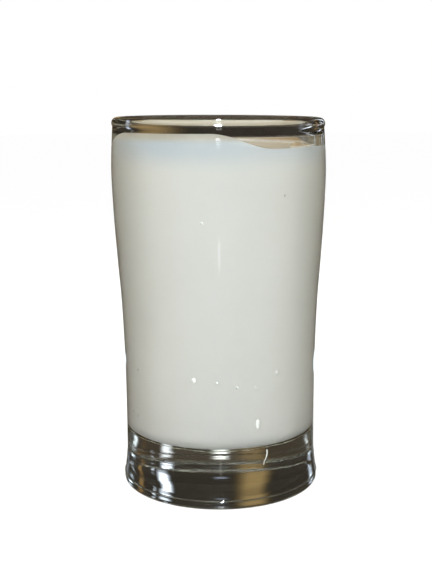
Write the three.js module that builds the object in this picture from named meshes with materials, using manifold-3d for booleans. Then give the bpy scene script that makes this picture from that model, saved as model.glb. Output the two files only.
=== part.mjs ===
// A glass of milk: a clear heavy-base tumbler with a rolled rim bead, filled to just under the rim.
// Millimetres, +Z up. The origin is the middle of the underside, on the plane that the glass stands on.

import * as THREE from "three";
import { mergeVertices } from "three/addons/utils/BufferGeometryUtils.js";
import Module from "manifold-3d";

const wasm = await Module();
wasm.setup();

// Driving sizes of the tumbler
const HEIGHT = 124;
const WALL = 2.8;
const BEAD_RADIUS = 1.9; // the rolled lip is a round bead, thicker than the wall under it
const BEAD_OUTSIDE = 35.22;
const BEAD_START = -32; // in degrees, where the outside of the wall meets the bead
const NECK = { r: 35.12, z: 118.5 }; // just under the bead
const BULGE = { r: 35.62, z: 106 }; // widest part of the bowl
const SHOULDER = { r: 35, z: 90 };
const CHEST = { r: 34.1, z: 76 };
const MIDDLE = { r: 33.12, z: 62 };
const WAIST = { r: 32.4, z: 40 };
const STEM = { r: 32.34, z: 15 }; // narrowest part, just under the bottom of the milk
const ANKLE = { r: 32.6, z: 9 };
const FLARE = { r: 33.05, z: 5 };
const FOOT = { r: 33.45, z: 1.4 }; // the base spreads again just above the table
const HEEL_RADIUS = 1.4;
const FLOOR_Z = 18.8; // the solid glass under the milk
const FLOOR_DISH = 1.2; // how far the middle of that floor dips
const FLOOR_CORNER = 4.5;
const PUNT_RADIUS = 23; // the very shallow hollow inside the ring that the glass stands on
const PUNT_DEPTH = 0.4;

// Driving sizes of the milk
const GAP = 0.3; // between the milk and the glass
const LEVEL = 114.6;
const MENISCUS = 0.5; // how far the milk creeps up the wall everywhere
const MENISCUS_WIDTH = 2.6;
const EDGE_THICK = 0.7; // the creeping edge at its top
// Where the milk has lapped up the wall: from one direction to another in degrees from +X, fading out on
// both sides, and the height
const LAPS = [
  { start: -148, stop: -95, fade: 36, rise: 4.6 },
  { start: 45, stop: 125, fade: 38, rise: 2.2 },
];
// Bubbles afloat by the wall: the direction, the distance in from the wall, and the radius
const BUBBLES = [
  { at: -33, inset: 3.2, radius: 2.3 },
  { at: -26, inset: 2.6, radius: 1.6 },
  { at: -20, inset: 2.4, radius: 1.2 },
  { at: 196, inset: 2.6, radius: 1.7 },
  { at: 188, inset: 2.3, radius: 1.2 },
  { at: 204, inset: 2.3, radius: 1.3 },
];

// Fineness
const AROUND = 64; // sides of each turned solid
const ARC_STEPS = 5;
const BEAD_STEPS = 11;
const WALL_STEPS = 12;
const BUBBLE_SIDES = 10;
const BUBBLE_RINGS = 6;

// A quarter, half or other arc of an outline, as points.
function arc(cx, cz, radius, from, to, steps) {
  return Array.from({ length: steps + 1 }, (_, i) => {
    const a = THREE.MathUtils.degToRad(from + ((to - from) * i) / steps);
    return new THREE.Vector2(cx + radius * Math.cos(a), cz + radius * Math.sin(a));
  });
}

// The outside of the wall, from the foot up to the neck, as a smooth curve through the named places.
const outside = new THREE.SplineCurve(
  [FOOT, FLARE, ANKLE, STEM, WAIST, MIDDLE, CHEST, SHOULDER, BULGE, NECK].map(
    ({ r, z }) => new THREE.Vector2(r, z),
  ),
);
const wallPoints = outside.getPoints(WALL_STEPS * 8);

// The outside radius at a height, read off that curve.
function outsideRadius(z) {
  const above = wallPoints.findIndex((p) => p.y >= z);
  if (above <= 0) return wallPoints[above === 0 ? 0 : wallPoints.length - 1].x;
  const a = wallPoints[above - 1];
  const b = wallPoints[above];
  return THREE.MathUtils.lerp(a.x, b.x, (z - a.y) / (b.y - a.y));
}

// The inside radius at a height.
function insideRadius(z) {
  return outsideRadius(z) - WALL;
}

// The cavity's outline from the middle of its floor up to a height, drawn in by a clearance.
function cavity(top, clearance, steps) {
  const corner = FLOOR_CORNER - clearance;
  const wallAt = insideRadius(FLOOR_Z + FLOOR_CORNER) - clearance;
  const floor = FLOOR_Z + clearance;
  const points = [
    new THREE.Vector2(0, floor - FLOOR_DISH),
    new THREE.Vector2((wallAt - corner) * 0.45, floor - FLOOR_DISH * 0.8),
    new THREE.Vector2((wallAt - corner) * 0.8, floor - FLOOR_DISH * 0.3),
    ...arc(wallAt - corner, floor + corner, corner, -90, 0, ARC_STEPS),
  ];
  const start = floor + corner;
  for (let i = 1; i <= steps; i++) {
    const z = start + ((top - start) * i) / steps;
    points.push(new THREE.Vector2(insideRadius(z) - clearance, z));
  }
  return points;
}

// Spins an outline about the vertical axis.
function turned(points) {
  return new THREE.LatheGeometry(points, AROUND).rotateX(Math.PI / 2);
}

function tumblerGeometry() {
  const heel = arc(FOOT.r - HEEL_RADIUS, HEEL_RADIUS, HEEL_RADIUS, -90, 0, ARC_STEPS).slice(0, -1);
  const standsOn = FOOT.r - HEEL_RADIUS;
  const underside = [
    new THREE.Vector2(0, PUNT_DEPTH),
    new THREE.Vector2(PUNT_RADIUS * 0.5, PUNT_DEPTH * 0.75),
    new THREE.Vector2(PUNT_RADIUS * 0.8, PUNT_DEPTH * 0.36),
    new THREE.Vector2(PUNT_RADIUS, 0),
    new THREE.Vector2((PUNT_RADIUS + standsOn) / 2, 0),
  ];
  const wall = outside.getPoints(WALL_STEPS).slice(0, -1);
  const beadMiddle = BEAD_OUTSIDE - BEAD_RADIUS;
  const beadZ = HEIGHT - BEAD_RADIUS;
  const beadEnd = 180 + THREE.MathUtils.radToDeg(Math.acos((beadMiddle - NECK.r + WALL) / BEAD_RADIUS));
  const bead = arc(beadMiddle, beadZ, BEAD_RADIUS, BEAD_START, beadEnd, BEAD_STEPS);
  const inside = cavity(NECK.z, 0, WALL_STEPS).reverse();
  return turned([...underside, ...heel, ...wall, outside.getPoint(1), ...bead, ...inside]);
}

// How far the milk stands above its level at the wall, in a direction given in degrees.
function creep(direction) {
  return LAPS.reduce((rise, lap) => {
    const middle = (lap.start + lap.stop) / 2;
    const away = Math.abs(((direction - middle + 540) % 360) - 180) - (lap.stop - lap.start) / 2;
    const beyond = THREE.MathUtils.clamp(away / lap.fade, 0, 1);
    return rise + (lap.rise * (1 + Math.cos(Math.PI * beyond))) / 2;
  }, MENISCUS);
}

// The milk as a turned solid whose creeping edge is then raised by a different amount in each direction.
function milkGeometry() {
  const sides = cavity(LEVEL, GAP, WALL_STEPS - 2);
  const wallRadius = Math.min(sides[sides.length - 1].x, NECK.r - WALL - GAP); // clear of the neck too
  const edgeTop = LEVEL + MENISCUS;
  const edge = [
    new THREE.Vector2(wallRadius, edgeTop),
    new THREE.Vector2(wallRadius - EDGE_THICK, edgeTop),
  ];
  const slope = [0.35, 0.7, 1].map(
    (t) =>
      new THREE.Vector2(
        wallRadius - THREE.MathUtils.lerp(EDGE_THICK, MENISCUS_WIDTH, t),
        LEVEL + MENISCUS * (1 - t) ** 3,
      ),
  );
  const surface = [0.75, 0.5, 0.25].map((t) => new THREE.Vector2(wallRadius * t, LEVEL));
  const made = turned([...sides, ...edge, ...slope, ...surface, new THREE.Vector2(0, LEVEL)]);
  const place = made.attributes.position;
  for (let i = 0; i < place.count; i++) {
    const above = place.getZ(i) - LEVEL;
    if (above < 1e-4) continue;
    const direction = THREE.MathUtils.radToDeg(Math.atan2(place.getY(i), place.getX(i)));
    place.setZ(i, LEVEL + (above * creep(direction)) / MENISCUS);
  }
  return made;
}

// A closed geometry as a solid that can be joined.
function solid(geometry) {
  const bare = geometry.clone();
  bare.deleteAttribute("normal");
  bare.deleteAttribute("uv");
  const merged = mergeVertices(bare, 1e-3);
  return new wasm.Manifold(
    new wasm.Mesh({
      numProp: 3,
      vertProperties: new Float32Array(merged.attributes.position.array),
      triVerts: new Uint32Array(merged.index.array),
    }),
  );
}

function geometryOf(made) {
  const { vertProperties, triVerts } = made.getMesh();
  const geometry = new THREE.BufferGeometry();
  geometry.setAttribute("position", new THREE.BufferAttribute(vertProperties, 3));
  geometry.setIndex(new THREE.BufferAttribute(triVerts, 1));
  geometry.computeVertexNormals();
  return geometry;
}

// Each bubble is a flattened ball that stands half out of the milk.
function bubble({ at, inset, radius }) {
  const direction = THREE.MathUtils.degToRad(at);
  const out = insideRadius(LEVEL) - GAP - inset;
  return new THREE.SphereGeometry(radius, BUBBLE_SIDES, BUBBLE_RINGS)
    .rotateX(Math.PI / 2)
    .scale(1, 1, 0.75)
    .translate(out * Math.cos(direction), out * Math.sin(direction), LEVEL);
}

const milk = BUBBLES.reduce((made, b) => made.add(solid(bubble(b))), solid(milkGeometry()));

const clearGlass = new THREE.MeshStandardMaterial({
  color: 0xdfe8e4,
  roughness: 0.03,
  metalness: 0,
  transparent: true,
  opacity: 0.35,
});
const wholeMilk = new THREE.MeshStandardMaterial({ color: 0xe9eadf, roughness: 0.35, metalness: 0 });

const tumblerMesh = new THREE.Mesh(tumblerGeometry(), clearGlass);
tumblerMesh.name = "tumbler";
const milkMesh = new THREE.Mesh(geometryOf(milk), wholeMilk);
milkMesh.name = "milk";

const glassOfMilk = new THREE.Group();
glassOfMilk.name = "glass_of_milk";
glassOfMilk.add(tumblerMesh, milkMesh);

export default glassOfMilk;
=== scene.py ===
"""A glass of milk: a clear heavy-base tumbler with a rolled rim, filled to just under that rim.

Metres, +Z up. The glass stands on the origin, and -Y is the side that faces the viewer.
"""

import math

import bpy
from mathutils import Matrix, Vector


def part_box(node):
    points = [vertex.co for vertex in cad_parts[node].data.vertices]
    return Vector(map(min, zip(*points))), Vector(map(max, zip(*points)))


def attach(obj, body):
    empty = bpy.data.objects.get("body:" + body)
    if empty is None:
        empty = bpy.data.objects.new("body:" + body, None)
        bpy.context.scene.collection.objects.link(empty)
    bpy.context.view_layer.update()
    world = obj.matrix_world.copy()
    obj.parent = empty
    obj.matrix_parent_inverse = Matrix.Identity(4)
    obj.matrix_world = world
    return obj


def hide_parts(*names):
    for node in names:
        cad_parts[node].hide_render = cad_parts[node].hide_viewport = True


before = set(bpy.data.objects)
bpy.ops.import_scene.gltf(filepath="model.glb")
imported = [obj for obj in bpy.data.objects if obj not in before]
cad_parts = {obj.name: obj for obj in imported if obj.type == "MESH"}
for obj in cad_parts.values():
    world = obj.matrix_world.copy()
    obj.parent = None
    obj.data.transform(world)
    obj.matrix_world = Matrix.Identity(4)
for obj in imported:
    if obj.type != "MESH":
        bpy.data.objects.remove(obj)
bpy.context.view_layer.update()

bl_info = {
    "name": "Glass of milk",
    "version": (1, 0, 0),
    "blender": (4, 5, 0),
    "location": "3D View > Sidebar > Milk",
    "description": "Models a heavy-base tumbler of milk, its bubbles and specks, and a pale stage",
    "category": "Object",
}

MM = 0.001

# The height of the tumbler is that of its solid
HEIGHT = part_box("tumbler")[1].z

# Places on the outside of the glass, as (radius, height), from just over the heel up to the bead
FOOT = (33.45 * MM, 1.4 * MM)
FLARE = (33.05 * MM, 5.0 * MM)
ANKLE = (32.6 * MM, 9.0 * MM)
STEM = (32.34 * MM, 15.0 * MM)
WAIST = (32.4 * MM, 40.0 * MM)
MIDDLE = (33.12 * MM, 62.0 * MM)
CHEST = (34.1 * MM, 76.0 * MM)
SHOULDER = (35.0 * MM, 90.0 * MM)
BULGE = (35.62 * MM, 106.0 * MM)
NECK = (35.12 * MM, 118.5 * MM)
BEAD_OUTSIDE = 35.22 * MM
BEAD_START = -32
HEEL_RADIUS = 1.4 * MM
PUNT_RADIUS = 19.6 * MM
PUNT_DEPTH = 0.3 * MM
RING_WIDTH = 0.5 * MM
STEP_WIDTH = 0.8 * MM
STEP_RISE = 0.45 * MM
SEAM_HEIGHT = 3.0 * MM
SEAM_HALF = 0.32 * MM
SEAM_PROUD = 0.25 * MM

# The rim is a little out of square: above this height its plane dips towards +X
RIM_TILT = math.radians(0.55)
TILT_FROM = 96.0 * MM

# Fineness of the turned pieces
SIDES = 192
ARC_STEPS = 12
SPLINE_STEPS = 9
UNDERSIDE_STEPS = 16
RISE_STEPS = 10
SEAM_STEPS = 12
BLEND_STEPS = 16
DISH_STEPS = 8
CAVITY_STEPS = 48
EDGE_STEPS = 8
SURFACE_STEPS = 10

# The camera, where the photograph was taken from
CAMERA_PLACE = Vector((0.0, -0.3472, 0.1325))
CAMERA_PITCH = math.radians(10.76)
CAMERA_YAW = math.radians(0.189)
CAMERA_ROLL = math.radians(-0.44)
LENS = 64.84
SENSOR = 36.0


class TumblerSettings(bpy.types.PropertyGroup):
    """Sizes and finish of the glass."""

    wall: bpy.props.FloatProperty(
        name="Wall", description="Thickness of the glass wall", default=2.8 * MM, unit="LENGTH")
    bead: bpy.props.FloatProperty(
        name="Bead", description="Radius of the rolled rim", default=1.9 * MM, unit="LENGTH")
    floor: bpy.props.FloatProperty(
        name="Floor", description="Height of the solid base under the milk", default=18.8 * MM, unit="LENGTH")
    dish: bpy.props.FloatProperty(
        name="Dish", description="How far the middle of that floor dips", default=1.2 * MM, unit="LENGTH")
    corner: bpy.props.FloatProperty(
        name="Corner", description="Radius between floor and wall", default=4.5 * MM, unit="LENGTH")
    ripple: bpy.props.FloatProperty(
        name="Ripple", description="Depth of the ripples that chilling leaves in the glass", default=0.22,
        min=0.0, max=1.0, subtype="FACTOR")
    tint: bpy.props.FloatVectorProperty(
        name="Tint", description="Colour that thick glass takes on", default=(0.86, 0.93, 0.88),
        size=3, min=0.0, max=1.0, subtype="COLOR")


class MilkSettings(bpy.types.PropertyGroup):
    """Level and colours of the milk."""

    level: bpy.props.FloatProperty(
        name="Level", description="Height of the milk's surface", default=114.6 * MM, unit="LENGTH")
    meniscus: bpy.props.FloatProperty(
        name="Meniscus", description="How far the edge creeps up the wall", default=0.3 * MM, unit="LENGTH")
    meniscus_width: bpy.props.FloatProperty(
        name="Meniscus width", description="How far in from the wall it starts", default=2.6 * MM,
        unit="LENGTH")
    body: bpy.props.FloatVectorProperty(
        name="Body", description="Colour of the milk through the wall", default=(0.925, 0.94, 0.895),
        size=3, min=0.0, max=1.0, subtype="COLOR")
    top: bpy.props.FloatVectorProperty(
        name="Top", description="Colour just under the surface", default=(0.68, 0.765, 0.82),
        size=3, min=0.0, max=1.0, subtype="COLOR")


class StageSettings(bpy.types.PropertyGroup):
    """Light on the glass and the room that it mirrors."""

    key: bpy.props.FloatProperty(
        name="Key", description="Strength of the soft light in front", default=22.0, min=0.0)
    room: bpy.props.FloatVectorProperty(
        name="Room", description="Colour of the dim room that the glass mirrors", default=(0.03, 0.026, 0.02),
        size=3, min=0.0, max=1.0, subtype="COLOR")


# Shader trees


class Wire:
    """One output socket, so that shader maths reads as plain arithmetic."""

    def __init__(self, finish, socket):
        self.finish = finish
        self.socket = socket

    def maths(self, operation, first, second):
        return self.finish.node("Math", {"operation": operation}, {0: first, 1: second})

    def __add__(self, other):
        return self.maths("ADD", self, other)

    def __radd__(self, other):
        return self.maths("ADD", other, self)

    def __sub__(self, other):
        return self.maths("SUBTRACT", self, other)

    def __rsub__(self, other):
        return self.maths("SUBTRACT", other, self)

    def __mul__(self, other):
        return self.maths("MULTIPLY", self, other)

    def __rmul__(self, other):
        return self.maths("MULTIPLY", other, self)

    def output(self, name):
        return Wire(self.finish, self.socket.node.outputs[name])


class Finish:
    """The node tree of a material or a world, and the one way that nodes are added to it."""

    def __init__(self, owner):
        owner.use_nodes = True
        self.tree = owner.node_tree
        self.tree.nodes.clear()

    def node(self, kind, settings=None, inputs=None, output=0):
        """Adds a node, sets it up, and fills its sockets with values or with wires from other nodes."""
        made = self.tree.nodes.new("ShaderNode" + kind)
        for name, value in (settings or {}).items():
            setattr(made, name, value)
        for name, value in (inputs or {}).items():
            socket = made.inputs[name]
            if isinstance(value, Wire):
                self.tree.links.new(value.socket, socket)
            else:
                socket.default_value = value
        return Wire(self, made.outputs[output]) if made.outputs else made

    def mix(self, factor, first, second):
        """Mixes two colours."""
        return self.node(
            "Mix", {"data_type": "RGBA"}, {"Factor": factor, 6: first, 7: second}, output=2)

    def coordinates(self, scale=(1.0, 1.0, 1.0), turn=(0.0, 0.0, 0.0)):
        """Object coordinates in millimetres, stretched and turned."""
        place = self.node("TexCoord", output="Object")
        return self.node(
            "Mapping", {"vector_type": "POINT"},
            {"Vector": place, "Scale": [s / MM for s in scale], "Rotation": turn})

    def noise(self, where, size, detail=2.0, roughness=0.5):
        """Soft noise with features about that many millimetres across."""
        return self.node(
            "TexNoise", {"noise_dimensions": "3D"},
            {"Vector": where, "Scale": 1.0 / size, "Detail": detail, "Roughness": roughness})

    def between(self, value, low, high, to_low=0.0, to_high=1.0):
        """Maps a range of values smoothly onto another."""
        return self.node(
            "MapRange", {"interpolation_type": "SMOOTHSTEP"},
            {"Value": value, "From Min": low, "From Max": high, "To Min": to_low, "To Max": to_high})

    def heights(self):
        """The height above the table, in millimetres."""
        place = self.node("TexCoord", output="Object")
        return self.node("SeparateXYZ", None, {0: place}, output="Z") * (1.0 / MM)


def material(name):
    made = bpy.data.materials.new(name)
    return made, Finish(made)


TINT_DENSITY = 6.0


def clear_glass(settings):
    """Clear soda-lime glass: fine level ripples in the thick base, a slow wobble above, faint smudges."""
    made, finish = material("clear_glass")
    high = finish.heights()
    slow = finish.noise(finish.coordinates((1, 1, 0.5)), 16.0, 1.0)
    level_ripples = finish.noise(finish.coordinates((0.06, 0.06, 1.6)), 1.3, 3.0, 0.65)
    in_base = finish.between(high, 14.0, 22.0, 1.0, 0.12)
    relief = slow * 0.2 + level_ripples * in_base * settings.ripple
    bump = finish.node("Bump", None, {"Strength": 0.25, "Distance": 0.4 * MM, "Height": relief})
    smudge = finish.noise(finish.coordinates((1, 1, 0.6)), 9.0, 4.0, 0.7)
    rough = finish.between(smudge, 0.45, 0.8, 0.0, 0.05)
    shader = finish.node("BsdfPrincipled", None, {
        "Base Color": (1.0, 1.0, 1.0, 1.0), "Roughness": rough, "IOR": 1.5,
        "Transmission Weight": 1.0, "Normal": bump})
    deep = finish.node("VolumeAbsorption", None, {"Color": (*settings.tint, 1.0), "Density": TINT_DENSITY})
    finish.node("OutputMaterial", None, {"Surface": shader, "Volume": deep})
    return made


def milk_in_glass(settings):
    """The milk where it wets the wall: bluish just under the surface, a darker cream on a thin lap, part film
    colour and part painted shade.
    """
    made, finish = material("milk_in_glass")
    high = finish.heights()
    near_top = finish.between(high, settings.level / MM - 8.0, settings.level / MM + 2.0)
    clouds = finish.noise(finish.coordinates((1, 1, 0.6)), 22.0, 3.0)
    colour = finish.mix(near_top, (*settings.body, 1.0), (*settings.top, 1.0))
    # High on the laps a darker cream: partly the thin film's own colour, partly painted shade of the dim room
    # behind it.
    film_and_shade = finish.between(high, settings.level / MM + 1.8, settings.level / MM + 4.4)
    edged = finish.mix(film_and_shade, colour, (0.62, 0.60, 0.50, 1.0))
    uneven = finish.mix(
        finish.between(clouds, 0.3, 0.7, 0.0, 0.35), edged, (*[0.97 * c for c in settings.body], 1.0))
    shader = finish.node("BsdfPrincipled", None, {
        "Base Color": uneven, "Roughness": 0.6, "IOR": 1.34, "Specular IOR Level": 0.1})
    finish.node("OutputMaterial", None, {"Surface": shader})
    return made


def milk_surface(settings):
    """The milk's open surface: wet and glossy, with a slow swell, a mottle of painted warm light and wave
    shadows, and a tan lap band, part film colour and part painted shade.
    """
    made, finish = material("milk_surface")
    swell = finish.noise(finish.coordinates(), 13.0, 1.0)
    bump = finish.node("Bump", None, {"Strength": 0.8, "Distance": 0.3 * MM, "Height": swell})
    # Painted light and shade: the cream mottle stands for warm light from above, and its darker patches for
    # shadows of small waves.
    painted_light_mottle = finish.noise(finish.coordinates((0.5, 1.2, 1)), 12.0, 3.0)
    colour = finish.mix(
        finish.between(painted_light_mottle, 0.38, 0.58), (0.76, 0.74, 0.66, 1.0), (0.86, 0.85, 0.80, 1.0))
    # Up the laps the surface turns tan, partly the thin film's own colour and partly painted shade of the dim
    # room behind it, then paler at the brim.
    high = finish.heights() - settings.level / MM + (painted_light_mottle - 0.5) * 1.2
    lap = finish.mix(finish.between(high, 0.45, 1.0), colour, (0.46, 0.36, 0.23, 1.0))
    brim = finish.mix(finish.between(high, 1.8, 2.2), lap, (0.66, 0.65, 0.57, 1.0))
    shader = finish.node("BsdfPrincipled", None, {
        "Base Color": brim, "Roughness": 0.12, "IOR": 1.36, "Specular IOR Level": 0.5, "Normal": bump})
    finish.node("OutputMaterial", None, {"Surface": shader})
    return made


def dried_foam_and_painted_glint():
    """Pale dried foam in uneven patches; on the crease in the base the same pale colour is a painted
    highlight.
    """
    made, finish = material("dried_foam_and_painted_glint")
    patches = finish.noise(finish.coordinates(), 0.6, 2.0)
    colour = finish.mix(
        finish.between(patches, 0.35, 0.65), (0.55, 0.585, 0.55, 1.0), (0.70, 0.74, 0.70, 1.0))
    shader = finish.node("BsdfPrincipled", None, {"Base Color": colour, "Roughness": 0.5})
    finish.node("OutputMaterial", None, {"Surface": shader})
    return made


def painted_shade_and_reflection_line():
    """The line in the glass: dark stretches of painted shade and pale stretches of painted reflection, by
    turns.
    """
    made, finish = material("painted_shade_and_reflection_line")
    patches = finish.noise(finish.coordinates(), 5.0, 3.0, 0.7)
    # Dark is painted shade, pale is painted reflection.
    colour = finish.mix(
        finish.between(patches, 0.35, 0.6), (0.10, 0.10, 0.07, 1.0), (0.56, 0.58, 0.44, 1.0))
    shader = finish.node("BsdfPrincipled", None, {"Base Color": colour, "Roughness": 0.4})
    finish.node("OutputMaterial", None, {"Surface": shader})
    return made


# Outlines


def arc(centre, radius, start, stop, steps):
    """Points of an arc, as (radius from the axis, height), between two angles in degrees."""
    angles = [math.radians(start + (stop - start) * i / steps) for i in range(steps + 1)]
    return [(centre[0] + radius * math.cos(a), centre[1] + radius * math.sin(a)) for a in angles]


def curve_through(places, steps):
    """A smooth curve through places, with that many steps from each to the next."""
    points = []
    for i in range(len(places) - 1):
        a, b, c, d = (Vector(places[min(max(k, 0), len(places) - 1)]) for k in range(i - 1, i + 3))
        for step in range(steps):
            t = step / steps
            points.append(tuple(0.5 * (
                2 * b + (c - a) * t + (2 * a - 5 * b + 4 * c - d) * t**2 + (3 * b - a - 3 * c + d) * t**3)))
    return [*points, tuple(places[-1])]


WALL_LINE = curve_through(
    [FOOT, FLARE, ANKLE, STEM, WAIST, MIDDLE, CHEST, SHOULDER, BULGE, NECK], SPLINE_STEPS)


def outside_radius(z):
    """The radius of the outside of the wall at a height."""
    for (r0, z0), (r1, z1) in zip(WALL_LINE, WALL_LINE[1:]):
        if z <= z1:
            return r0 + (r1 - r0) * (max(z, z0) - z0) / (z1 - z0)
    return WALL_LINE[-1][0]


def seamed_wall():
    """The outside of the wall with the faint mould seam round its foot."""
    low, high = SEAM_HEIGHT - SEAM_HALF, SEAM_HEIGHT + SEAM_HALF
    seam = []
    for i in range(SEAM_STEPS + 1):
        z = low + (high - low) * i / SEAM_STEPS
        proud = SEAM_PROUD * 0.5 * (1 - math.cos(2 * math.pi * i / SEAM_STEPS))
        seam.append((outside_radius(z) + proud, z))
    below = [place for place in WALL_LINE if place[1] < low]
    above = [place for place in WALL_LINE if place[1] > high]
    return [*below, *seam, *above]


def eased(start, stop, steps):
    """Points between two places, whose radius eases from one to the other. The two are left out."""
    line = []
    for i in range(1, steps):
        share = 0.5 * (1 - math.cos(math.pi * i / steps))
        line.append((start[0] + (stop[0] - start[0]) * share, start[1] + (stop[1] - start[1]) * i / steps))
    return line


def cavity_line(glass, top, clearance):
    """The cavity's outline from the middle of its floor up to a height, drawn in by a clearance."""
    corner = glass.corner - clearance
    wall_at = outside_radius(glass.floor + glass.corner) - glass.wall - clearance
    floor = glass.floor + clearance
    flat = wall_at - corner
    line = [
        (flat * i / DISH_STEPS, floor - glass.dish * 0.5 * (1 + math.cos(math.pi * i / DISH_STEPS)))
        for i in range(DISH_STEPS)
    ]
    line += arc((flat, floor + corner), corner, -90, 0, ARC_STEPS)
    start = floor + corner
    for i in range(1, CAVITY_STEPS + 1):
        z = start + (top - start) * i / CAVITY_STEPS
        line.append((outside_radius(z) - glass.wall - clearance, z))
    return line


# Modelling


def turned(name, outline, sides):
    """Draws an outline point by point, spins it about the vertical axis and closes the shell."""
    bpy.ops.object.select_all(action="DESELECT")
    bpy.ops.mesh.primitive_plane_add(size=MM, location=(outline[0][0], 0, outline[0][1]))
    bpy.ops.object.transform_apply(location=True, rotation=True, scale=True)
    piece = bpy.context.object
    piece.name = piece.data.name = name
    bpy.ops.object.mode_set(mode="EDIT")
    bpy.ops.mesh.select_all(action="SELECT")
    bpy.ops.mesh.merge(type="CENTER")
    for (r0, z0), (r1, z1) in zip(outline, outline[1:]):
        bpy.ops.mesh.extrude_vertices_move(TRANSFORM_OT_translate={"value": (r1 - r0, 0, z1 - z0)})
    bpy.ops.mesh.select_all(action="SELECT")
    bpy.ops.mesh.spin(steps=sides, angle=2 * math.pi, center=(0, 0, 0), axis=(0, 0, 1))
    bpy.ops.mesh.select_all(action="SELECT")
    bpy.ops.mesh.remove_doubles(threshold=0.002 * MM)
    bpy.ops.mesh.normals_make_consistent(inside=False)
    bpy.ops.object.mode_set(mode="OBJECT")
    bpy.ops.object.shade_smooth()
    return piece


def joined(name, parts):
    """Joins parts into one piece whose object sits at the origin."""
    for part in parts:
        part.select_set(True)
    bpy.ops.object.join()
    piece = bpy.context.object
    piece.name = piece.data.name = name
    bpy.context.scene.cursor.location = (0, 0, 0)
    bpy.ops.object.origin_set(type="ORIGIN_CURSOR")
    return piece


class DRINK_OT_tumbler(bpy.types.Operator):
    """Models the tumbler: foot, wall, rolled bead, cavity and solid base"""

    bl_idname = "drink.tumbler"
    bl_label = "Tumbler"

    def execute(self, context):
        glass = context.scene.drink_tumbler
        underside = [
            (PUNT_RADIUS * i / UNDERSIDE_STEPS, PUNT_DEPTH * (1 - (i / UNDERSIDE_STEPS) ** 2))
            for i in range(UNDERSIDE_STEPS + 1)
        ]
        stepped = PUNT_RADIUS + RING_WIDTH
        underside += [
            (stepped + STEP_WIDTH * i / RISE_STEPS,
             STEP_RISE * 0.5 * (1 - math.cos(math.pi * i / RISE_STEPS)))
            for i in range(RISE_STEPS + 1)
        ]
        heel = arc((FOOT[0] - HEEL_RADIUS, HEEL_RADIUS), HEEL_RADIUS, -90, 0, ARC_STEPS // 2)[:-1]
        middle = BEAD_OUTSIDE - glass.bead
        bead = arc((middle, HEIGHT - glass.bead), glass.bead, BEAD_START, 180, 3 * ARC_STEPS)
        inside = cavity_line(glass, NECK[1], 0.0)[::-1]
        blend = eased(bead[-1], inside[0], BLEND_STEPS)
        piece = turned("tumbler_glass", [*underside, *heel, *seamed_wall(), *bead, *blend, *inside], SIDES)
        for vertex in piece.data.vertices:
            share = min(max((vertex.co.z - TILT_FROM) / (NECK[1] - TILT_FROM), 0.0), 1.0)
            vertex.co.z -= vertex.co.x * math.tan(RIM_TILT) * share
        piece.data.materials.append(clear_glass(glass))
        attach(piece, "root")
        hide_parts("tumbler")
        return {"FINISHED"}


# Where the milk has lapped up the wall: from one direction to another in degrees, fading out on both sides
LAPS = (
    {"start": -148, "stop": -95, "fade": 36, "rise": 5.0 * MM},
    {"start": 45, "stop": 125, "fade": 38, "rise": 2.2 * MM},
)
# How far the milk reaches into the wall, and how thick its edge is
BITE = 0.1 * MM
EDGE_THICK = 0.7 * MM


def creep(direction, meniscus):
    """How far the milk stands above its level at the wall, in a direction given in degrees."""
    rise = meniscus
    for lap in LAPS:
        middle, half = (lap["start"] + lap["stop"]) / 2, (lap["stop"] - lap["start"]) / 2
        away = abs((direction - middle + 540) % 360 - 180) - half
        beyond = min(max(away / lap["fade"], 0.0), 1.0)
        rise += lap["rise"] * (1 + math.cos(math.pi * beyond)) / 2
    return rise


class DRINK_OT_milk(bpy.types.Operator):
    """Models the milk: it bites just into the wall, and its edge creeps and laps up the glass"""

    bl_idname = "drink.milk"
    bl_label = "Milk"

    def execute(self, context):
        glass = context.scene.drink_tumbler
        milk = context.scene.drink_milk
        line = cavity_line(glass, milk.level, -BITE)
        wall = line[-1][0]
        edge_top = milk.level + milk.meniscus
        line += [(wall, milk.level + milk.meniscus * 0.5), (wall, edge_top)]
        inner = wall - EDGE_THICK
        for i in range(EDGE_STEPS + 1):
            t = i / EDGE_STEPS
            line.append((
                inner - t * (milk.meniscus_width - EDGE_THICK), milk.level + milk.meniscus * (1 - t) ** 3))
        last = line[-1][0]
        line += [(last * (1 - i / SURFACE_STEPS), milk.level) for i in range(1, SURFACE_STEPS + 1)]
        piece = turned("milk_body", line, SIDES)
        for vertex in piece.data.vertices:
            above = vertex.co.z - milk.level
            if above > 1e-7:
                direction = math.degrees(math.atan2(vertex.co.y, vertex.co.x))
                vertex.co.z = milk.level + above * creep(direction, milk.meniscus) / milk.meniscus
        piece.data.materials.append(milk_in_glass(milk))
        piece.data.materials.append(milk_surface(milk))
        for face in piece.data.polygons:
            face.material_index = int(face.normal.z > 0.1 and face.center.z > milk.level - 0.1 * MM)
        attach(piece, "root")
        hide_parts("milk")
        return {"FINISHED"}


# Bubbles afloat by the wall: the direction in degrees, the distance in from the wall, and the radius
BUBBLES = (
    {"at": -33, "inset": 3.2 * MM, "radius": 2.3 * MM},
    {"at": -26, "inset": 2.6 * MM, "radius": 1.6 * MM},
    {"at": -20, "inset": 2.4 * MM, "radius": 1.2 * MM},
    {"at": 196, "inset": 2.6 * MM, "radius": 1.7 * MM},
    {"at": 188, "inset": 2.3 * MM, "radius": 1.2 * MM},
    {"at": 204, "inset": 2.3 * MM, "radius": 1.3 * MM},
)
BUBBLE_GAP = 0.3 * MM


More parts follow.
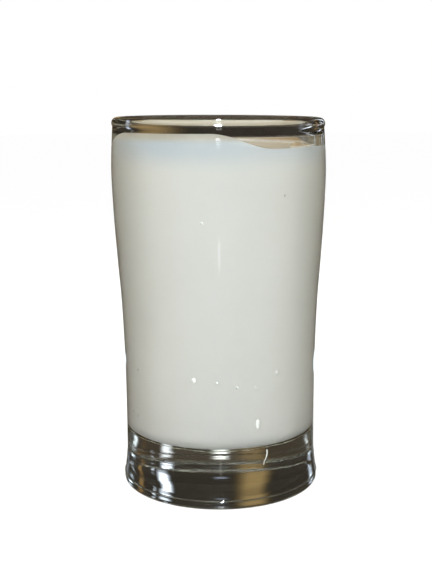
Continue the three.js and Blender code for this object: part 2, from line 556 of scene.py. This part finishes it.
class DRINK_OT_bubbles(bpy.types.Operator):
    """Adds the flattened bubbles that float by the wall"""

    bl_idname = "drink.bubbles"
    bl_label = "Bubbles"

    def execute(self, context):
        glass = context.scene.drink_tumbler
        milk = context.scene.drink_milk
        bpy.ops.object.select_all(action="DESELECT")
        made = []
        for spot in BUBBLES:
            out = outside_radius(milk.level) - glass.wall - BUBBLE_GAP - spot["inset"]
            turn = math.radians(spot["at"])
            bpy.ops.mesh.primitive_uv_sphere_add(
                segments=48, ring_count=24, radius=spot["radius"],
                location=(out * math.cos(turn), out * math.sin(turn), milk.level))
            ball = bpy.context.object
            ball.scale = (1, 1, 0.75)
            bpy.ops.object.transform_apply(location=True, rotation=True, scale=True)
            bpy.ops.object.shade_smooth()
            made.append(ball)
        piece = joined("bubbles", made)
        piece.data.materials.append(milk_surface(milk))
        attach(piece, "root")
        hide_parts("milk")
        return {"FINISHED"}


# Dried foam specks on the wall: the direction in degrees, the height, the radius, and how many times as
# tall as wide each one is
SPECKS = (
    {"at": -145.8, "high": 42.8 * MM, "radius": 0.5 * MM, "long": 1.0},
    {"at": -104.8, "high": 42.8 * MM, "radius": 0.6 * MM, "long": 1.3},
    {"at": -91.8, "high": 42.2 * MM, "radius": 0.4 * MM, "long": 1.0},
    {"at": -80.5, "high": 40.5 * MM, "radius": 0.45 * MM, "long": 1.0},
    {"at": -69.5, "high": 40.0 * MM, "radius": 0.5 * MM, "long": 1.0},
    {"at": -56.0, "high": 44.0 * MM, "radius": 0.8 * MM, "long": 1.2},
    {"at": -146.2, "high": 27.0 * MM, "radius": 0.5 * MM, "long": 1.3},
    {"at": -153.0, "high": 27.5 * MM, "radius": 0.5 * MM, "long": 1.0},
    {"at": -68.2, "high": 27.8 * MM, "radius": 0.8 * MM, "long": 2.0},
    {"at": -98.5, "high": 93.0 * MM, "radius": 0.4 * MM, "long": 1.0},
    {"at": -55.0, "high": 100.8 * MM, "radius": 0.45 * MM, "long": 1.0},
)

# A short wavy crease on the wall of the base, as a row of overlapping drops from its top down.
# Their pale colour is a painted highlight, for the light that the crease catches
CREASE_DROPS = 12
PAINTED_CREASE_GLINT = [
    {"at": -62.4 - 1.6 * t + 0.5 * math.sin(5.0 * t), "high": (18.6 - 4.4 * t) * MM,
     "radius": (0.22 - 0.08 * t) * MM, "long": 1.8}
    for t in (i / (CREASE_DROPS - 1) for i in range(CREASE_DROPS))
]


class DRINK_OT_specks(bpy.types.Operator):
    """Adds the dried foam specks on the outside of the wall, and the short crease on its base, pale as a
    painted highlight
    """

    bl_idname = "drink.specks"
    bl_label = "Specks"

    def execute(self, context):
        bpy.ops.object.select_all(action="DESELECT")
        made = []
        for speck in (*SPECKS, *PAINTED_CREASE_GLINT):
            turn = math.radians(speck["at"])
            out = outside_radius(speck["high"])
            bpy.ops.mesh.primitive_uv_sphere_add(
                segments=24, ring_count=12, radius=speck["radius"],
                location=(out * math.cos(turn), out * math.sin(turn), speck["high"]))
            drop = bpy.context.object
            drop.scale = (0.25, 1, speck["long"])
            drop.rotation_euler = (0, 0, turn)
            bpy.ops.object.transform_apply(location=True, rotation=True, scale=True)
            bpy.ops.object.shade_smooth()
            made.append(drop)
        piece = joined("specks", made)
        piece.data.materials.append(dried_foam_and_painted_glint())
        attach(piece, "root")
        return {"FINISHED"}


# The fine uneven line in the glass just under the edge of the milk: a thin ring of painted shade and painted
# reflection. Each wave of it has a count round the glass, a depth and a start
LINE_RADIUS = 27.0 * MM
LINE_HEIGHT = 18.35 * MM
LINE_THICK = 0.13 * MM
LINE_WAVES = ((5, 0.10 * MM, 0.4), (13, 0.06 * MM, 1.7), (29, 0.04 * MM, 2.9))


class DRINK_OT_line(bpy.types.Operator):
    """Adds the fine line in the glass just under the edge of the milk, a thin ring of painted shade and
    painted reflection
    """

    bl_idname = "drink.line"
    bl_label = "Line in the base"

    def execute(self, context):
        bpy.ops.object.select_all(action="DESELECT")
        bpy.ops.mesh.primitive_torus_add(
            major_radius=LINE_RADIUS, minor_radius=LINE_THICK, major_segments=SIDES, minor_segments=8,
            location=(0, 0, LINE_HEIGHT))
        bpy.ops.object.transform_apply(location=True, rotation=True, scale=True)
        bpy.ops.object.shade_smooth()
        piece = bpy.context.object
        piece.name = piece.data.name = "painted_line_in_base"
        for vertex in piece.data.vertices:
            turn = math.atan2(vertex.co.y, vertex.co.x)
            vertex.co.z += sum(depth * math.sin(count * turn + start) for count, depth, start in LINE_WAVES)
        piece.data.materials.append(painted_shade_and_reflection_line())
        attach(piece, "root")
        return {"FINISHED"}


# Large soft lights beside, above and behind the glass
LIGHTS = (
    {"name": "warm_left", "place": (-0.42, -0.08, 0.28), "aim": (0, 0, 0.12), "size": (0.3, 0.3),
     "colour": (1, 0.56, 0.02), "strength": 1.3},
    {"name": "warm_right", "place": (0.42, -0.10, 0.28), "aim": (0, 0, 0.12), "size": (0.3, 0.3),
     "colour": (1, 0.62, 0.04), "strength": 1.0},
    {"name": "warm_ceiling", "place": (0, 0.15, 0.8), "aim": (0, 0, 0.1), "size": (0.5, 0.5),
     "colour": (0.99, 0.99, 0.84), "strength": 3.4},
    {"name": "back_light", "place": (0.05, 0.55, 0.30), "aim": (0, 0, 0.06), "size": (0.4, 0.3),
     "colour": (1, 0.97, 0.90), "strength": 8.0},
)

# Black flags that keep some of the front light off the sides of the milk
FLAG_OUT = 0.0455
FLAG_FRONT = -0.05
FLAG_HEIGHT = 0.07
FLAG_SIZE = (0.036, 0.2)

# Glowing cards, for what the glass mirrors and bends: walls and windows first, then small glints
CARDS = (
    {"name": "brown_wall", "place": (-0.095, 0.45, 0.18), "size": (0.17, 0.48),
     "colour": (0.34, 0.235, 0.10), "strength": 0.9},
    {"name": "window_right", "place": (0.215, 0.50, 0.25), "size": (0.10, 0.30),
     "colour": (0.8, 0.88, 1.0), "strength": 2.8},
    {"name": "window_edge", "place": (0.27, 0.48, 0.13), "size": (0.04, 0.15),
     "colour": (0.8, 0.88, 1.0), "strength": 1.6},
    {"name": "brown_right", "place": (0.42, 0.46, 0.16), "size": (0.11, 0.44),
     "colour": (0.30, 0.18, 0.07), "strength": 0.9},
    {"name": "window_far_right", "place": (0.60, 0.15, 0.16), "size": (0.20, 0.36),
     "colour": (0.8, 0.88, 1.0), "strength": 1.0, "mirrored": False},
    {"name": "window_left", "place": (-0.55, 0.30, 0.16), "size": (0.16, 0.40),
     "colour": (0.75, 0.85, 1.0), "strength": 1.4, "mirrored": False},
    {"name": "glint_middle", "place": (0.0, 0.093, 0.0228), "size": (0.008, 0.007),
     "colour": (0.9, 0.96, 1.0), "strength": 4.5, "bent": False},
    {"name": "glint_low", "place": (0.0, 0.093, 0.027), "size": (0.006, 0.008),
     "colour": (0.7, 0.8, 1.0), "strength": 0.45, "mirrored": False},
    {"name": "glint_right", "place": (0.048, 0.062, 0.0235), "size": (0.02, 0.014),
     "colour": (0.75, 0.88, 1.0), "strength": 5.0},
    {"name": "glint_left", "place": (-0.050, 0.060, 0.0255), "size": (0.014, 0.008),
     "colour": (0.75, 0.88, 1.0), "strength": 4.0},
    {"name": "gleam", "place": (0.0, -0.183, 0.04), "size": (0.016, 0.032),
     "colour": (1, 1, 1), "strength": 4.0, "bent": False},
    {"name": "flash", "place": (0.0, -0.345, 0.205), "size": (0.05, 0.15),
     "colour": (0.85, 0.92, 1.0), "strength": 4000.0, "bent": False},
)


class DRINK_OT_stage(bpy.types.Operator):
    """Sets the pale floor, the soft lights, the dim room that the glass mirrors, and the camera"""

    bl_idname = "drink.stage"
    bl_label = "Stage"

    def execute(self, context):
        stage = context.scene.drink_stage
        context.scene.view_settings.view_transform = "Standard"
        self.world(context, stage)
        self.floor()
        self.soft_light("key_light", (0, -0.40, 0.165), (0, 0, 0.06), (0.24, 0.142), (1, 1, 1), stage.key)
        for light in LIGHTS:
            self.soft_light(**light)
        for side, name in ((-1, "flag_left"), (1, "flag_right")):
            place = (side * FLAG_OUT, FLAG_FRONT, FLAG_HEIGHT)
            self.soft_light(name, place, (place[0], 0, place[2]), FLAG_SIZE, (0, 0, 0), 0.0)
        for card in CARDS:
            self.card(**card)
        self.camera(context)
        return {"FINISHED"}

    def world(self, context, stage):
        world = bpy.data.worlds.new("pale_room")
        context.scene.world = world
        finish = Finish(world)
        seen = finish.node("Background", None, {"Color": (1, 1, 1, 1), "Strength": 1.0})
        up = finish.node("SeparateXYZ", None, {0: finish.node("TexCoord", output="Generated")}, output="Z")
        off_level = finish.node("Math", {"operation": "ABSOLUTE"}, {0: up})
        level_glow = finish.between(off_level, 0.0, 0.07, 1.0, 0.0)
        around = finish.mix(level_glow, (*stage.room, 1), (0.30, 0.29, 0.22, 1))
        mirrored = finish.node("Background", None, {"Color": around, "Strength": 1.0})
        by_eye = finish.node("LightPath", output="Is Camera Ray")
        both = finish.node("MixShader", None, {0: by_eye, 1: mirrored, 2: seen})
        finish.node("OutputWorld", None, {"Surface": both})

    def floor(self):
        bpy.ops.object.select_all(action="DESELECT")
        bpy.ops.mesh.primitive_circle_add(
            vertices=64, radius=3.0, fill_type="NGON", location=(0, 0, -0.05 * MM))
        floor = bpy.context.object
        floor.name = "floor"
        made, finish = material("pale_floor")
        lit = finish.node("BsdfDiffuse", None, {"Color": (0.08, 0.08, 0.08, 1)})
        glow = finish.node("Emission", None, {"Color": (1, 1, 1, 1), "Strength": 0.985})
        seen = finish.node("AddShader", None, {0: lit, 1: glow})
        mirror = finish.node("BsdfGlossy", None, {"Color": (0.5, 0.48, 0.44, 1), "Roughness": 0.05})
        # Seen in the glass, the floor is a dim mirror with a faint brown glow of its own: painted light that
        # browns the dark base of the glass.
        faint = finish.node("Emission", None, {"Color": (0.040, 0.031, 0.022, 1), "Strength": 1.0})
        shine = finish.node("AddShader", None, {0: mirror, 1: faint})
        dull = finish.node("BsdfDiffuse", None, {"Color": (0.05, 0.04, 0.03, 1)})
        path = finish.node("LightPath")
        from_milk = finish.node(
            "Math", {"operation": "GREATER_THAN"}, {0: path.output("Diffuse Depth"), 1: 0.5})
        mirrored = finish.node("MixShader", None, {0: from_milk, 1: shine, 2: dull})
        both = finish.node("MixShader", None, {0: path.output("Is Camera Ray"), 1: mirrored, 2: seen})
        finish.node("OutputMaterial", None, {"Surface": both})
        floor.data.materials.append(made)

    def glowing(self, name, place, aim, size):
        """A flat rectangle that faces a point, for a light or a card."""
        bpy.ops.object.select_all(action="DESELECT")
        bpy.ops.mesh.primitive_plane_add(size=1.0, location=place)
        plane = bpy.context.object
        plane.name = name
        plane.scale = (size[0], size[1], 1.0)
        plane.rotation_euler = (Vector(aim) - Vector(place)).to_track_quat("Z", "Y").to_euler()
        bpy.ops.object.transform_apply(location=True, rotation=True, scale=True)
        plane.visible_camera = False
        plane.visible_shadow = False
        made, finish = material(name)
        plane.data.materials.append(made)
        return plane, finish

    def soft_light(self, name, place, aim, size, colour, strength):
        """A large light that falls on the milk and the floor, and that the glass doesn't mirror."""
        plane, finish = self.glowing(name, place, aim, size)
        path = finish.node("LightPath")
        through_glass = path.output("Is Transmission Ray") + path.output("Is Glossy Ray")
        not_yet_on_milk = finish.node(
            "Math", {"operation": "LESS_THAN"}, {0: path.output("Diffuse Depth"), 1: 0.5})
        behind = finish.node("NewGeometry", output="Backfacing")
        shown = (1 - through_glass * not_yet_on_milk) * (1 - behind)
        glow = finish.node("Emission", None, {"Color": (*colour, 1), "Strength": strength})
        clear = finish.node("BsdfTransparent", None, {})
        both = finish.node("MixShader", None, {0: shown, 1: clear, 2: glow})
        finish.node("OutputMaterial", None, {"Surface": both})

    def card(self, name, place, size, colour, strength, mirrored=True, bent=True):
        """An upright glowing card with soft edges that faces the glass, for what it mirrors and bends."""
        plane, finish = self.glowing(name, place, (0, 0, place[2]), size)
        where = finish.node("SeparateXYZ", None, {0: finish.node("TexCoord", output="UV")})
        soft = 1
        for side in "XY":
            along = where.output(side)
            from_edge = finish.node("Math", {"operation": "MINIMUM"}, {0: along, 1: 1 - along})
            soft = soft * finish.between(from_edge, 0.0, 0.42)
        glow = finish.node("Emission", None, {"Color": (*colour, 1), "Strength": soft * strength})
        clear = finish.node("BsdfTransparent", None, {})
        both = finish.node("MixShader", None, {0: soft, 1: clear, 2: glow})
        finish.node("OutputMaterial", None, {"Surface": both})
        plane.visible_glossy = mirrored
        plane.visible_transmission = bent
        plane.visible_diffuse = False

    def camera(self, context):
        data = bpy.data.cameras.new("camera")
        data.lens = LENS
        data.sensor_width = SENSOR
        camera = bpy.data.objects.new("camera", data)
        context.scene.collection.objects.link(camera)
        turn = (
            Matrix.Rotation(CAMERA_YAW, 4, "Z")
            @ Matrix.Rotation(math.pi / 2 - CAMERA_PITCH, 4, "X")
            @ Matrix.Rotation(CAMERA_ROLL, 4, "Z")
        )
        camera.matrix_world = Matrix.Translation(CAMERA_PLACE) @ turn
        context.scene.camera = camera


class DRINK_PT_panel(bpy.types.Panel):
    """Lists the steps that make the glass of milk"""

    bl_label = "Glass of milk"
    bl_space_type = "VIEW_3D"
    bl_region_type = "UI"
    bl_category = "Milk"

    def draw(self, context):
        for step in STEPS:
            self.layout.operator(step.bl_idname)


SETTINGS = {
    "drink_tumbler": TumblerSettings,
    "drink_milk": MilkSettings,
    "drink_stage": StageSettings,
}
STEPS = (
    DRINK_OT_tumbler, DRINK_OT_milk, DRINK_OT_bubbles, DRINK_OT_specks, DRINK_OT_line, DRINK_OT_stage)
CLASSES = (*SETTINGS.values(), *STEPS, DRINK_PT_panel)


def register():
    for made in CLASSES:
        bpy.utils.register_class(made)
    for name, group in SETTINGS.items():
        setattr(bpy.types.Scene, name, bpy.props.PointerProperty(type=group))


def unregister():
    for name in SETTINGS:
        delattr(bpy.types.Scene, name)
    for made in reversed(CLASSES):
        bpy.utils.unregister_class(made)


def main():
    register()
    bpy.ops.drink.tumbler()
    bpy.ops.drink.milk()
    bpy.ops.drink.bubbles()
    bpy.ops.drink.specks()
    bpy.ops.drink.line()
    bpy.ops.drink.stage()


if __name__ == "__main__":
    main()
